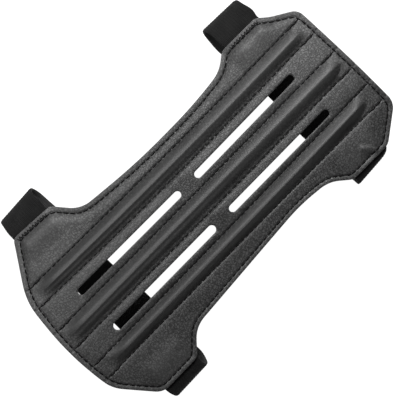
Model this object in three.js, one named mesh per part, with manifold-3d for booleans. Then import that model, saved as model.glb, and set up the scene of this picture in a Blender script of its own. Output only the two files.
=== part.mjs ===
// Archery arm guard: a forearm panel of two sewn layers with three raised ribs, four long vent slots
// and four ears. Two elastic straps leave the ears between the layers and close the loop for the arm.
// It lies face up on the flat lower runs of its straps.
// Millimetres. +Z is up and out of the face, +Y runs along the arm to the flat end of the panel.

import * as THREE from 'three';
import { mergeVertices } from 'three/addons/utils/BufferGeometryUtils.js';
import Module from 'manifold-3d';

const wasm = await Module();
wasm.setup();

// Thicknesses of the sewn layers, and the gap that touching pieces keep
const FRONT_THICKNESS = 1.3;
const BACK_THICKNESS = 1.2;
const STRAP_THICKNESS = 1.2;
const GAP = 0.3;

// Arch across the panel: the back layer's upper face is highest on the centre line, and each half has
// dropped by its own amount at the arch's reach. A higher power keeps more of the bend near the edge
const CROWN_HEIGHT = 26;
const ARCH_REACH = 42;
const LEFT_ARCH = { drop: 3.8, power: 2.2 };
const RIGHT_ARCH = { drop: 8.4, power: 1.7 };

// Corners of the cut outline, counter-clockwise from the flat end. round is the length that the curve
// takes from both sides of the corner
const OUTLINE = [
  { corner: 'flat end right', x: 29.9, y: 93.3, round: 4 },
  { corner: 'flat end left', x: -31.0, y: 92.0, round: 3.5 },
  { corner: 'upper left shoulder', x: -38.0, y: 80.7, round: 3 },
  { corner: 'upper left ear top', x: -42.8, y: 75.3, round: 1.6 },
  { corner: 'upper left ear foot', x: -43.0, y: 54.9, round: 1.8 },
  { corner: 'left waist top', x: -36.8, y: 46.8, round: 5 },
  { corner: 'left waist bend', x: -34.5, y: 27.7, round: 14 },
  { corner: 'left waist middle', x: -34.5, y: -9.0, round: 16 },
  { corner: 'left waist foot', x: -37.9, y: -42.1, round: 6 },
  { corner: 'lower left ear top', x: -49.7, y: -51.9, round: 1.8 },
  { corner: 'lower left ear foot', x: -50.5, y: -73.8, round: 2.2 },
  { corner: 'round end left', x: -25.9, y: -89.7, round: 8 },
  { corner: 'round end middle', x: 5.3, y: -93.2, round: 18 },
  { corner: 'round end right', x: 29.7, y: -90.9, round: 5 },
  { corner: 'lower right ear foot', x: 48.9, y: -75.9, round: 4 },
  { corner: 'lower right ear top', x: 48.6, y: -54.4, round: 2 },
  { corner: 'right waist foot', x: 37.6, y: -43.8, round: 6 },
  { corner: 'right waist middle', x: 34.3, y: 2, round: 16 },
  { corner: 'right waist bend', x: 32.4, y: 29.5, round: 9 },
  { corner: 'right waist top', x: 34.3, y: 46.3, round: 5 },
  { corner: 'upper right ear foot', x: 41.8, y: 55.2, round: 1.8 },
  { corner: 'upper right ear top', x: 41.9, y: 77.9, round: 2.4 },
];

// Vent slots with round ends: the middle of each slot's two ends, near the panel's middle and far from it
const SLOTS = [
  { slot: 'upper left', nearX: -10.9, nearY: 4.9, farX: -11.4, farY: 69.1, width: 3.6 },
  { slot: 'upper right', nearX: 11.3, nearY: 4.9, farX: 11.2, farY: 69.1, width: 3.6 },
  { slot: 'lower left', nearX: -10.9, nearY: -4.9, farX: -11.4, farY: -70.4, width: 3.6 },
  { slot: 'lower right', nearX: 11.3, nearY: -4.9, farX: 11.4, farY: -70.4, width: 4.1 },
];

// Ribs: each lies between two sewn rows, with a gently rounded left face and a steep right one
const RIB_ROUNDNESS = 1.35;
const RIB_MARGIN = 0.5;
const RIB_TAPER = 6;
const RIBS = [
  { leftRow: -27.9, crest: -23.0, rightRow: -18.0, top: 86.0, foot: -79.5, height: 2.9 },
  { leftRow: -5.8, crest: -1.0, rightRow: 5.2, top: 88.0, foot: -86.0, height: 2.9 },
  { leftRow: 16.2, crest: 21.0, rightRow: 25.1, top: 84.0, foot: -80.0, height: 3.4 },
];

// Straps: where each leaves its two ears along the arm, where its loops come down to the floor, how far
// the loops reach past the ears, the straight stretch before each bend, how much wider the loop is at one
// edge than at its middle, and the places that the lower run passes through
const STRAP_WIDTH = 20.8;
const STRAP_TAIL = 7;
const STRAPS = [
  {
    name: 'upper_strap',
    left: { ear: -42.7, along: 66.9, floor: 65.8, reach: 13.8, lead: 3, splay: 0.03 },
    right: { ear: 41.7, along: 66.6, floor: 66.0, reach: 3.2, lead: 0.5, splay: 0.45 },
    run: [{ x: -11, along: 67.1 }, { x: 11.3, along: 64.9 }],
  },
  {
    name: 'lower_strap',
    left: { ear: -50.1, along: -63.7, floor: -62.0, reach: 12.4, lead: 3, splay: 0 },
    right: { ear: 48.5, along: -64.4, floor: -62.2, reach: 6.3, lead: 1, splay: 0.05 },
    run: [{ x: -11, along: -62.5 }, { x: 11.3, along: -61.0 }],
  },
];
// Heading at which a loop's upper bend passes into its lower bend, from level at the ear
const BEND_CHANGE = THREE.MathUtils.degToRad(100);

// The front layer rises over each strap tail and falls back to the back layer over the blend
const POCKET_LIFT = STRAP_THICKNESS + GAP;
const POCKET_CLEARANCE = 1.4;
const POCKET_BLEND = 6;

// Spacing of the surface lines, and the heights that the cutting blocks reach past the panel
const LONG_SPACING = 14;
const ARCH_SPACING = 4;
const RIB_END_SPACING = 1.6;
const CURVE_STEPS = 4;
const TAIL_STEPS = 3;
const BEND_STEPS = 7;
const RUN_STEPS = 16;
const BLOCK_FLOOR = -5;
const BLOCK_TOP = 60;
const OVERHANG = 6;

const clamp01 = (value) => Math.min(1, Math.max(0, value));
const smooth = (value) => THREE.MathUtils.smoothstep(value, 0, 1);

// Shape of the panel's surfaces

const archSide = (x) => (x < 0 ? LEFT_ARCH : RIGHT_ARCH);

function archHeight(x) {
  const { drop, power } = archSide(x);
  return CROWN_HEIGHT - drop * (Math.abs(x) / ARCH_REACH) ** power;
}

function archSlope(x) {
  const { drop, power } = archSide(x);
  return (-Math.sign(x) * drop * power * (Math.abs(x) / ARCH_REACH) ** (power - 1)) / ARCH_REACH;
}

function ribHeight(rib, x, y) {
  const base = x < rib.crest ? rib.leftRow + RIB_MARGIN : rib.rightRow - RIB_MARGIN;
  const across = clamp01((x - base) / (rib.crest - base));
  const fromEnd = clamp01(Math.min(rib.top - y, y - rib.foot) / RIB_TAPER);
  const profile = x < rib.crest ? 1 - (1 - across) ** RIB_ROUNDNESS : smooth(across);
  return rib.height * profile * Math.sqrt(fromEnd * (2 - fromEnd));
}

const middleAlong = ({ left, right }) => (left.along + right.along) / 2;

function pocketHeight(x, y) {
  let lift = 0;
  for (const strap of STRAPS) {
    const { ear } = x < 0 ? strap.left : strap.right;
    const inward = Math.abs(ear) - Math.abs(x) - STRAP_TAIL - POCKET_CLEARANCE;
    const beside = Math.abs(y - middleAlong(strap)) - STRAP_WIDTH / 2 - POCKET_CLEARANCE;
    const across = 1 - smooth(inward / POCKET_BLEND);
    const along = 1 - smooth(beside / POCKET_BLEND);
    lift = Math.max(lift, POCKET_LIFT * across * along);
  }
  return lift;
}

const frontUnderside = (x, y) => archHeight(x) + GAP + pocketHeight(x, y);
const frontFace = (x, y) =>
  frontUnderside(x, y) + FRONT_THICKNESS + RIBS.reduce((sum, rib) => sum + ribHeight(rib, x, y), 0);
const backFace = (x) => archHeight(x);
const backUnderside = (x) => archHeight(x) - BACK_THICKNESS;

// Lines of the surface grids

// Sorted key values with every wider gap divided evenly
function gridLines(keys, widest) {
  const sorted = [...new Set(keys)].sort((a, b) => a - b);
  const lines = [sorted[0]];
  for (let i = 1; i < sorted.length; i += 1) {
    const gap = sorted[i] - sorted[i - 1];
    const parts = Math.max(1, Math.ceil(gap / widest));
    for (let part = 1; part <= parts; part += 1) {
      lines.push(sorted[i - 1] + (gap * part) / parts);
    }
  }
  return lines;
}

const halfWidth = Math.max(...OUTLINE.map((row) => Math.abs(row.x))) + OVERHANG;
const halfLength = Math.max(...OUTLINE.map((row) => Math.abs(row.y))) + OVERHANG;
const blendSteps = [0, 0.35, 0.65, 1].map((part) => part * POCKET_BLEND);
const ribSteps = [0, 0.3, 0.6, 0.88];

const pocketColumns = STRAPS.flatMap(({ left, right }) =>
  blendSteps.flatMap((step) => [
    left.ear + STRAP_TAIL + POCKET_CLEARANCE + step,
    right.ear - STRAP_TAIL - POCKET_CLEARANCE - step,
  ]),
);
const pocketRows = STRAPS.flatMap((strap) =>
  blendSteps.flatMap((step) => {
    const reach = STRAP_WIDTH / 2 + POCKET_CLEARANCE + step;
    return [middleAlong(strap) - reach, middleAlong(strap) + reach];
  }),
);
const ribColumns = RIBS.flatMap(({ leftRow, crest, rightRow }) => [
  crest,
  ...ribSteps.map((part) => THREE.MathUtils.lerp(leftRow + RIB_MARGIN, crest, part)),
  ...ribSteps.map((part) => THREE.MathUtils.lerp(rightRow - RIB_MARGIN, crest, part)),
]);
const ribTops = RIBS.map((rib) => rib.top);
const ribFeet = RIBS.map((rib) => rib.foot);
const ribRows = [
  ...gridLines([Math.min(...ribTops) - RIB_TAPER, ...ribTops], RIB_END_SPACING),
  ...gridLines([Math.max(...ribFeet) + RIB_TAPER, ...ribFeet], RIB_END_SPACING),
];
const widthEnds = [-halfWidth, 0, halfWidth];
const lengthEnds = [-halfLength, halfLength];

// Solids

function toSolid(geometry) {
  geometry.deleteAttribute('normal');
  geometry.deleteAttribute('uv');
  const merged = mergeVertices(geometry);
  const vertProperties = new Float32Array(merged.attributes.position.array);
  const triVerts = new Uint32Array(merged.index.array);
  return new wasm.Manifold(new wasm.Mesh({ numProp: 3, vertProperties, triVerts }));
}

function toGeometry(solid) {
  const mesh = solid.getMesh();
  const geometry = new THREE.BufferGeometry();
  geometry.setAttribute('position', new THREE.BufferAttribute(mesh.vertProperties, 3));
  geometry.setIndex(new THREE.BufferAttribute(mesh.triVerts, 1));
  geometry.computeVertexNormals();
  return geometry;
}

// Closed block whose top follows a height function over the grid
function heightBlock(columns, rows, heightAt) {
  const positions = [];
  const index = [];
  const count = columns.length * rows.length;
  for (const level of [heightAt, () => BLOCK_FLOOR]) {
    rows.forEach((y) => columns.forEach((x) => positions.push(x, y, level(x, y))));
  }
  const at = (i, j) => j * columns.length + i;
  const quad = (a, b, c, d) => index.push(a, b, c, a, c, d);
  for (let j = 0; j + 1 < rows.length; j += 1) {
    for (let i = 0; i + 1 < columns.length; i += 1) {
      const around = [at(i, j), at(i + 1, j), at(i + 1, j + 1), at(i, j + 1)];
      quad(...around);
      quad(...around.map((vertex) => vertex + count).reverse());
    }
  }
  const wall = (a, b) => quad(a, a + count, b + count, b);
  const lastColumn = columns.length - 1;
  const lastRow = rows.length - 1;
  for (let i = 0; i < lastColumn; i += 1) {
    wall(at(i, 0), at(i + 1, 0));
    wall(at(i + 1, lastRow), at(i, lastRow));
  }
  for (let j = 0; j < lastRow; j += 1) {
    wall(at(lastColumn, j), at(lastColumn, j + 1));
    wall(at(0, j + 1), at(0, j));
  }
  const geometry = new THREE.BufferGeometry();
  geometry.setAttribute('position', new THREE.Float32BufferAttribute(positions, 3));
  geometry.setIndex(index);
  return toSolid(geometry);
}

function outlineShape() {
  const shape = new THREE.Shape();
  const corners = OUTLINE.map((row) => new THREE.Vector2(row.x, row.y));
  OUTLINE.forEach(({ round }, i) => {
    const corner = corners[i];
    const before = corners.at(i - 1);
    const after = corners[(i + 1) % corners.length];
    const start = before.clone().sub(corner).setLength(round).add(corner);
    const end = after.clone().sub(corner).setLength(round).add(corner);
    if (i === 0) {
      shape.moveTo(start.x, start.y);
    } else {
      shape.lineTo(start.x, start.y);
    }
    shape.quadraticCurveTo(corner.x, corner.y, end.x, end.y);
  });
  shape.closePath();
  return shape;
}

function slotShape({ nearX, nearY, farX, farY, width }) {
  const radius = width / 2;
  const [lowX, lowY, highX, highY] = nearY < farY ? [nearX, nearY, farX, farY] : [farX, farY, nearX, nearY];
  const shape = new THREE.Shape();
  shape.absarc(lowX, lowY + radius, radius, Math.PI, 2 * Math.PI);
  shape.absarc(highX, highY - radius, radius, 0, Math.PI);
  shape.closePath();
  return shape;
}

function prism(shape) {
  const depth = BLOCK_TOP - BLOCK_FLOOR;
  const options = { depth, bevelEnabled: false, curveSegments: CURVE_STEPS };
  const geometry = new THREE.ExtrudeGeometry(shape, options);
  geometry.translate(0, 0, BLOCK_FLOOR);
  return toSolid(geometry);
}

// One sewn layer: what lies between two surfaces inside the outline, with the slots cut out
function layerGeometry(face, underside) {
  const layer = face.intersect(prism(outlineShape())).subtract(underside);
  return toGeometry(SLOTS.reduce((rest, slot) => rest.subtract(prism(slotShape(slot))), layer));
}

function frontGeometry() {
  const faceColumns = gridLines([...widthEnds, ...pocketColumns, ...ribColumns], ARCH_SPACING);
  const faceRows = gridLines([...lengthEnds, ...pocketRows, ...ribRows], LONG_SPACING);
  const underColumns = gridLines([...widthEnds, ...pocketColumns], ARCH_SPACING);
  const underRows = gridLines([...lengthEnds, ...pocketRows], LONG_SPACING);
  const face = heightBlock(faceColumns, faceRows, frontFace);
  return layerGeometry(face, heightBlock(underColumns, underRows, frontUnderside));
}

function backGeometry() {
  const columns = gridLines(widthEnds, ARCH_SPACING);
  const face = heightBlock(columns, lengthEnds, backFace);
  return layerGeometry(face, heightBlock(columns, lengthEnds, backUnderside));
}

// Straps

// Centre line of one half of a loop, from the tail between the layers to the floor. side is -1 or 1
function loopHalf({ ear, reach, lead }, side) {
  const points = [];
  const centre = (x) => archHeight(x) + GAP + STRAP_THICKNESS / 2;
  for (let step = 0; step <= TAIL_STEPS; step += 1) {
    const x = ear - side * STRAP_TAIL * (1 - step / TAIL_STEPS);
    points.push(new THREE.Vector2(x, centre(x)));
  }
  const heading = Math.atan(-side * archSlope(ear));
  const direction = new THREE.Vector2(side * Math.cos(heading), -Math.sin(heading));
  points.push(points.at(-1).clone().addScaledVector(direction, lead));
  const half = STRAP_THICKNESS / 2;
  const upperRadius = (reach - half - lead * Math.cos(heading)) / (1 - Math.sin(heading));
  const upperFall = upperRadius * (Math.cos(heading) - Math.cos(BEND_CHANGE));
  const lowerRadius = (points.at(-1).y - half - upperFall) / (1 + Math.cos(BEND_CHANGE));
  const bend = (radius, from, to, steps) => {
    const start = points.at(-1).clone();
    for (let step = 1; step <= steps; step += 1) {
      const angle = THREE.MathUtils.lerp(from, to, step / steps);
      const out = radius * (Math.sin(angle) - Math.sin(from));
      const down = radius * (Math.cos(from) - Math.cos(angle));
      points.push(new THREE.Vector2(start.x + side * out, start.y - down));
    }
  };
  bend(upperRadius, heading, BEND_CHANGE, BEND_STEPS);
  bend(lowerRadius, BEND_CHANGE, Math.PI, BEND_STEPS);
  return points;
}

// Centre line of one half with the place along the arm, and the share by which its reach grows at one edge
function halfLine(end, side) {
  const { ear, along, floor, splay } = end;
  const half = loopHalf(end, side);
  return half.map((point, i) => {
    const part = clamp01((i - TAIL_STEPS) / (half.length - 1 - TAIL_STEPS));
    const y = THREE.MathUtils.lerp(along, floor, smooth(part));
    const past = Math.max(0, side * (point.x - ear));
    return { x: point.x, y, z: point.y, spread: side * splay * past };
  });
}

// Place along the arm of the lower run at x, passing level through each of its given places
function runAlong(places, x) {
  const after = Math.max(1, places.findIndex((place) => place.x >= x));
  const from = places[after - 1];
  const to = places[after];
  return THREE.MathUtils.lerp(from.along, to.along, smooth((x - from.x) / (to.x - from.x)));
}

function strapLine({ left, right, run }) {
  const line = halfLine(left, -1);
  const rightHalf = halfLine(right, 1).reverse();
  const start = line.at(-1);
  const end = rightHalf[0];
  const places = [{ x: start.x, along: left.floor }, ...run, { x: end.x, along: right.floor }];
  for (let step = 1; step < RUN_STEPS; step += 1) {
    const x = THREE.MathUtils.lerp(start.x, end.x, step / RUN_STEPS);
    line.push({ x, y: runAlong(places, x), z: start.z, spread: 0 });
  }
  return [...line, ...rightHalf];
}

// Flat band of the strap's width and thickness along its centre line
function strapGeometry(strap) {
  const line = strapLine(strap);
  const positions = [];
  const index = [];
  line.forEach((point, i) => {
    const before = line[Math.max(0, i - 1)];
    const after = line[Math.min(line.length - 1, i + 1)];
    const normal = new THREE.Vector2(before.z - after.z, after.x - before.x).setLength(STRAP_THICKNESS / 2);
    for (const [face, edge] of [[1, -1], [1, 1], [-1, 1], [-1, -1]]) {
      const x = point.x + face * normal.x - edge * point.spread;
      positions.push(x, point.y + (edge * STRAP_WIDTH) / 2, point.z + face * normal.y);
    }
  });
  const quad = (a, b, c, d) => index.push(a, b, c, a, c, d);
  for (let i = 0; i + 1 < line.length; i += 1) {
    for (let side = 0; side < 4; side += 1) {
      const near = 4 * i + side;
      const next = 4 * i + ((side + 1) % 4);
      quad(near, near + 4, next + 4, next);
    }
  }
  const last = 4 * (line.length - 1);
  quad(0, 1, 2, 3);
  quad(last + 3, last + 2, last + 1, last);
  const geometry = new THREE.BufferGeometry();
  geometry.setAttribute('position', new THREE.Float32BufferAttribute(positions, 3));
  geometry.setIndex(index);
  geometry.computeVertexNormals();
  return geometry;
}

// Materials

const faceLeather = new THREE.MeshStandardMaterial({ color: 0x2b2b2c, roughness: 0.5, metalness: 0 });
const backLeather = new THREE.MeshStandardMaterial({ color: 0x222223, roughness: 0.75, metalness: 0 });
const elastic = new THREE.MeshStandardMaterial({ color: 0x151516, roughness: 0.85, metalness: 0 });

// Assembly, centred over the origin between its outermost loops and between its two ends

function namedMesh(name, geometry, material) {
  const mesh = new THREE.Mesh(geometry, material);
  mesh.name = name;
  return mesh;
}

const guard = new THREE.Group();
guard.add(namedMesh('front_panel', frontGeometry(), faceLeather));
guard.add(namedMesh('back_panel', backGeometry(), backLeather));
STRAPS.forEach((strap) => guard.add(namedMesh(strap.name, strapGeometry(strap), elastic)));

const box = new THREE.Box3().setFromObject(guard);
guard.position.set(-(box.min.x + box.max.x) / 2, -(box.min.y + box.max.y) / 2, 0);

export default guard;
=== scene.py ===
"""Archery arm guard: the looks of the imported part, lying face up on its strap loops.

Sizes are in millimetres in the guard's own axes, with x across and y along the panel, and the meshes
are moved into the frame, in metres, when they are made.
"""
import math

import bpy
import numpy as np
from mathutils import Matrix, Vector
from mathutils.geometry import delaunay_2d_cdt


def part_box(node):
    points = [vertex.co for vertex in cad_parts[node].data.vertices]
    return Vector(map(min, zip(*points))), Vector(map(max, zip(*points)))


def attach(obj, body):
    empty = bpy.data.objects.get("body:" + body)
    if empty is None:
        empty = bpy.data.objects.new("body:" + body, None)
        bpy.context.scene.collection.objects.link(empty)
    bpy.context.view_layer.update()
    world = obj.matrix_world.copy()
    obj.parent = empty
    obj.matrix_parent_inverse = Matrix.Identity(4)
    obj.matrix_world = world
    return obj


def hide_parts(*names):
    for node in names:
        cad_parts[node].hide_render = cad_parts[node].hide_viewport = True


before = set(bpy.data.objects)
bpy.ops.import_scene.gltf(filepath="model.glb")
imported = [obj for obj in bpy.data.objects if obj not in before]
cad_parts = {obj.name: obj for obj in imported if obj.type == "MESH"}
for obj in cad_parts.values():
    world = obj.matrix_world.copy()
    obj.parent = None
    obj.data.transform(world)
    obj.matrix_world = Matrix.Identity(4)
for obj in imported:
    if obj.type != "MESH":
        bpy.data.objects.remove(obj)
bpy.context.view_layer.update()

MM = 0.001

# Layers and arch, as in the part
FRONT_THICKNESS = 1.3
BACK_THICKNESS = 1.2
STRAP_THICKNESS = 1.2
GAP = 0.3
CROWN_HEIGHT = 26.0
ARCH_REACH = 42.0
LEFT_DROP, LEFT_POWER = 3.8, 2.2
RIGHT_DROP, RIGHT_POWER = 8.4, 1.7

# Corners of the cut outline, counter-clockwise: x, y and the length of the rounding. They are those of the
# part, but for five corners of the ears that lie up to 0.9 mm from the part's
OUTLINE = [
    (29.9, 93.3, 4.0),
    (-31.0, 92.0, 3.5),
    (-38.0, 80.7, 3.0),
    (-42.4, 75.7, 1.6),
    (-42.6, 54.4, 1.8),
    (-36.8, 46.8, 5.0),
    (-34.5, 27.7, 14.0),
    (-34.5, -9.0, 16.0),
    (-37.9, -42.1, 6.0),
    (-49.2, -51.5, 1.8),
    (-50.5, -73.8, 2.2),
    (-25.9, -89.7, 8.0),
    (5.3, -93.2, 18.0),
    (29.7, -90.9, 5.0),
    (48.3, -76.4, 4.0),
    (48.0, -53.8, 2.0),
    (37.6, -43.8, 6.0),
    (34.3, 2.0, 16.0),
    (32.4, 29.5, 9.0),
    (34.3, 46.3, 5.0),
    (41.8, 55.2, 1.8),
    (41.9, 77.9, 2.4),
]
OUTLINE_STEP = 0.6
CORNER_STEPS, SLOT_END_STEPS = 24, 12

# Vent slots, as in the part: x and y of the low end and of the high end, and the width
SLOTS = [
    (-10.9, 4.9, -11.4, 69.1, 3.6),
    (11.3, 4.9, 11.2, 69.1, 3.6),
    (-11.4, -70.4, -10.9, -4.9, 3.6),
    (11.4, -70.4, 11.3, -4.9, 4.1),
]

# Sewn rows and rib crests: x at three stations along the panel
ROW_STATIONS = (76.0, 0.0, -62.0)
SEWN_ROWS = [
    (-27.7, -27.5, -28.4),
    (-18.0, -17.5, -18.7),
    (-5.9, -5.7, -5.9),
    (5.1, 5.2, 5.1),
    (15.4, 16.4, 16.7),
    (25.1, 24.9, 25.1),
]
# Gap between a sewn row and its rib, and the lengths over which a rib runs out at its two ends
RIB_MARGIN = 0.4
RIB_TOP_TAPER = 9.0
RIB_FOOT_TAPER = 13.0
# Share of its width that a rib's right face has at its top end
RIGHT_TOP_SHARE = 0.25
# Steepness of a rib's right face at shares of the way from its crest to its row. Only the ratios count
RIGHT_FACE = ((0.0, 0.1), (0.1, 0.6), (0.25, 0.95), (0.55, 1.2), (0.74, 1.1), (0.88, 0.4), (1.0, 0.35))
# Where along the panel the shelf in the right faces starts and where it is full
SHELF_FROM = 60.0
SHELF_TO = -30.0
# Steepness of the left faces towards the foot of the panel, where they rise steeply from the row
LOW_LEFT_FACE = ((0.0, 0.1), (0.3, 0.35), (0.42, 0.9), (0.6, 1.2), (1.0, 1.2))
# Each rib: crest x at the stations, its two ends and its height, the shares of its faces that the rounding
# of the crest takes on the left and the shelf lies at on the right, the length over which the right face
# widens from its top end, the strength of the painted shade on its right face, and where painted shade starts
# on its left face
RIBS = [
    {"rows": (0, 1), "crest": (-22.9, -22.6, -23.5), "top": 88.0, "foot": -84.0, "height": 2.9,
     "round": 0.55, "shelf": 0.42, "widening": 1.0, "right_face_shade": 0.3, "shade_from": 60.0},
    {"rows": (2, 3), "crest": (-0.9, -1.0, -0.8), "top": 89.8, "foot": -90.0, "height": 2.9,
     "round": 0.6, "shelf": 0.32, "widening": 9.0, "right_face_shade": 0.55, "shade_from": 60.0},
    {"rows": (4, 5), "crest": (20.0, 21.1, 21.4), "top": 85.5, "foot": -84.0, "height": 3.4,
     "round": 0.35, "shelf": 0.30, "widening": 9.0, "right_face_shade": 1.0, "shade_from": 100.0},
]

# Stitching: the pitch, the radii of the thread, and where a stitch starts and ends between two holes
STITCH_PITCH = 3.1
THREAD_RADIUS, EDGE_THREAD_RADIUS = 0.28, 0.36
STITCH_START, STITCH_END = 0.04, 0.96
# The edge row: its inset, its shift to the right, and how far out the whole of the shift counts
EDGE_ROW_INSET, EDGE_ROW_SHIFT = 2.4, 0.25
EDGE_ROW_TURN = 30.0
# Ends of the sewn rows: how far to each side the edge row is looked at there, the gap that is left to it, and
# how far beside a row it is tacked back
ROW_END_REACH = 3.0
ROW_END_GAP = 0.4
BACK_TACK = 0.35
# Valley that the thread pulls into the face, the lift of the cut edge outside the edge row, and the length
# over which the relief of the face comes in from that row
ROW_VALLEY, ROW_VALLEY_WIDTH = 0.42, 0.48
EDGE_FLARE = 0.25
RELIEF_FADE = 4.0
# Shares of the pocket, the valley and the slow ripple that show on the hidden faces
UNDERSIDE_POCKET = 0.9
BACK_VALLEY, BACK_RIPPLE = 0.6, 0.3
# Bar tacks that hold the strap tails in the left ears: insets from the edge, length along it, pitch and
# radius of the thread, and the x that the left ears lie beyond
TACK_INSETS = (0.9, 3.1)
TACK_LENGTH = 18.0
TACK_PITCH = 0.8
TACK_RADIUS = 0.2
LEFT_EARS = -30.0

# Swelling of the leather between the sewn rows, from the left edge to the right one: how fast it sinks to
# the right beside the slots, above them and at the bridges between them, how soon it rises on the left, and
# its most. One that sinks to the left is the mirror image, with a rise of its own
CHANNELS = [
    {"fall": 0.24, "top_fall": 0.18, "bridge_fall": 0.24, "rise": 1.2, "most": 1.5},
    {"fall": 0.055, "top_fall": 0.02, "bridge_fall": 0.24, "rise": 1.3, "most": 2.0},
    {"fall": 0.055, "top_fall": -0.13, "bridge_fall": 0.18, "rise": 1.3, "most": 2.0},
    {"fall": 0.075, "top_fall": 0.075, "bridge_fall": 0.075, "rise": 2.0, "most": 0.6},
]
# Where the stretch above the slots starts and over what length it comes in, the rise of a mirrored swelling,
# and the rise at the bridges and their reach along the panel
CHANNEL_TOP, CHANNEL_TOP_FADE = 64.0, 8.0
MIRRORED_RISE = 3.0
BRIDGE_RISE = 0.6
BRIDGE_REACH = 6.5
# Rise of the leather to the left and the right edge of a slot, and the length of its fade at the slot's ends
SLOT_CROWN_LEFT, SLOT_CROWN_RIGHT = 0.35, 0.75
SLOT_CROWN_FADE = 5.0

# Straps, as in the part but for pressed tails and small changes to the reach and splay of two ends, with two
# forms of the webbing's upper edge: how far it bulges beside the ear, and the share of the reach that is
# rounded off
STRAP_WIDTH = 20.8
STRAP_TAIL = 7.0
STRAP_TAIL_THICKNESS = 0.6
BEND_CHANGE = math.radians(100)
STRAPS = {
    "upper_strap": {
        "left": {"ear": -42.7, "along": 66.9, "floor": 65.8, "reach": 13.8, "lead": 3.0, "splay": 0.03,
                 "bulge": 0.7, "corner": 0.0},
        "right": {"ear": 41.7, "along": 66.6, "floor": 66.0, "reach": 3.4, "lead": 0.5, "splay": 0.23,
                  "bulge": 0.0, "corner": 0.6},
        "run": [(-11.0, 67.1), (11.3, 64.9)],
    },
    "lower_strap": {
        "left": {"ear": -50.1, "along": -63.7, "floor": -62.0, "reach": 12.0, "lead": 3.0, "splay": -0.05,
                 "bulge": 0.0, "corner": 0.0},
        "right": {"ear": 48.5, "along": -64.4, "floor": -62.2, "reach": 6.3, "lead": 1.0, "splay": 0.05,
                  "bulge": 0.0, "corner": 0.0},
        "run": [(-11.0, -62.5), (11.3, -61.0)],
    },
}
# The bulge: how far past the ear it is widest, its length, and the share of the half loop where it fades
BULGE_AT, BULGE_REACH = 4.0, 5.0
BULGE_SHARE = 0.3
# Webbing: steps of its route, spacing along it and points across it, its cords and the picks that cross them,
# the width of its rounded edge, the square of its thinnest share there, and the length of the tail's swelling
TAIL_STEPS, BEND_STEPS, RUN_STEPS = 8, 25, 80
STRAP_STEP = 0.5
ACROSS_STEPS = 72
CORD_PITCH, CORD_RELIEF = 1.3, 0.12
PICK_PITCH, PICK_RELIEF = 1.0, 0.03
SELVEDGE, SELVEDGE_LEAST = 0.9, 0.08
TAIL_SWELL = 2.0
# Rise of the ears over the strap tails: its height at the edge and at its highest, its half length along
# the edge and the length of its fade, and for each ear how far in it is highest and the length of its fall
POCKET_EDGE, POCKET_TOP = 0.85, 1.3
POCKET_HALF, POCKET_FADE = 7.0, 7.0
EARS = [
    ("upper_strap", "left", 8.0, 11.0),
    ("upper_strap", "right", 5.0, 15.0),
    ("lower_strap", "left", 6.5, 9.0),
    ("lower_strap", "right", 9.0, 9.0),
]
# Bulges and dents of the ears: x, y, half width, half length and height
EAR_BUMPS = [
    (-36.5, 72.4, 3.2, 2.6, 0.3),
    (-36.5, 61.6, 3.2, 3.0, 0.35),
    (39.2, 67.6, 2.0, 2.6, -0.8),
    (39.9, -56.8, 2.0, 1.8, -0.6),
]
# Crease across the upper right ear: its two ends, its width and its height
EAR_CREASE = ((34.8, 68.0), (38.9, 71.9), 1.2, 1.1)

# Camera: straight down, as far above the panel as the photograph's perspective suggests
CAMERA_ABOVE_PANEL = 600.0
FRAME_WIDTH_AT_PANEL = 181.8
CAMERA_ROLL = math.radians(44.52)
IMAGE_CENTRE = (-2.0, -1.1)
SENSOR_WIDTH = 36.0

# Floor, in metres: its half width and level, and how its glow falls off with the distance from the guard
FLOOR_HALF = 4.0
FLOOR_LEVEL = -0.0002
GLOW_FROM_TO, GLOW_STRENGTH = (0.15, 0.6), (1.0, 0.3)

# Lines of the face's mesh: places of columns beside a sewn row and beside a crest, the widest spacing of the
# columns on the ribs and elsewhere, the spacing of the rows, the insets of the rings along the cut edge and
# of the columns' ends, how far across the panel the outermost columns lie, and the gap kept to the slots
ROW_COLUMNS = (-1.2, -0.8, -0.5, -0.25, 0.0, 0.25, 0.5, 0.8, 1.2)
CREST_COLUMNS = (-0.9, -0.5, -0.25, 0.0, 0.2, 0.4, 0.7)
RIB_COLUMN, FLAT_COLUMN = 0.35, 0.8
FINE_ROW = 0.65
EDGE_RINGS = (0.8, 1.4, 1.8, 2.15, 2.4, 2.65, 3.0, 3.5)
GRID_INSET = 4.1
BEYOND = 55.0
SLOT_INSET = 0.6
# Even grids of the face's underside and of the back layer: their spacings, their insets and their range
UNDER_GRID, BACK_GRID = 3.0, 1.5
UNDER_INSET, BACK_INSET = 1.5, 1.0
GRID_ACROSS, GRID_ALONG = (-50, 50), (-92, 93)
# Rings of the cut edges from the top down: inset, and share of the thickness
FRONT_RINGS = [(0.25, 0.0), (0.07, 0.07), (0.0, 0.22), (0.0, 0.8), (0.12, 1.0)]
BACK_RINGS = [(0.3, 0.0), (0.0, 0.2), (0.0, 0.75), (0.35, 1.0)]
# How far the leather is pulled smooth, by a millimetre of rib, over the strap tails and towards the foot, and
# where and over what length it grows smooth there
RIB_STRETCH, POCKET_STRETCH, FOOT_STRETCH = 0.45, 0.5, 0.3
FOOT_STRETCH_FROM, FOOT_STRETCH_LENGTH = -40.0, 25.0
# Step for the slope of the ribs' sides, and the slope of a right face at which its painted shade is full
FALL_STEP = 0.3
PAINTED_SHADE_FALL = 0.6
# How much painted shade darkens the left faces of the ribs, the rib height from which it does, and the length
# along which it comes in
LEFT_FACE_SHADE, SHADE_HEIGHT, SHADE_LENGTH = 0.45, 0.8, 70.0


def smooth(value):
    """Smooth step from 0 to 1."""
    t = np.clip(value, 0.0, 1.0)
    return t * t * (3.0 - 2.0 * t)


def bell(distance, width):
    """Bell curve that is 1 at no distance."""
    return np.exp(-((distance / width) ** 2))


# Outline and slots

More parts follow.
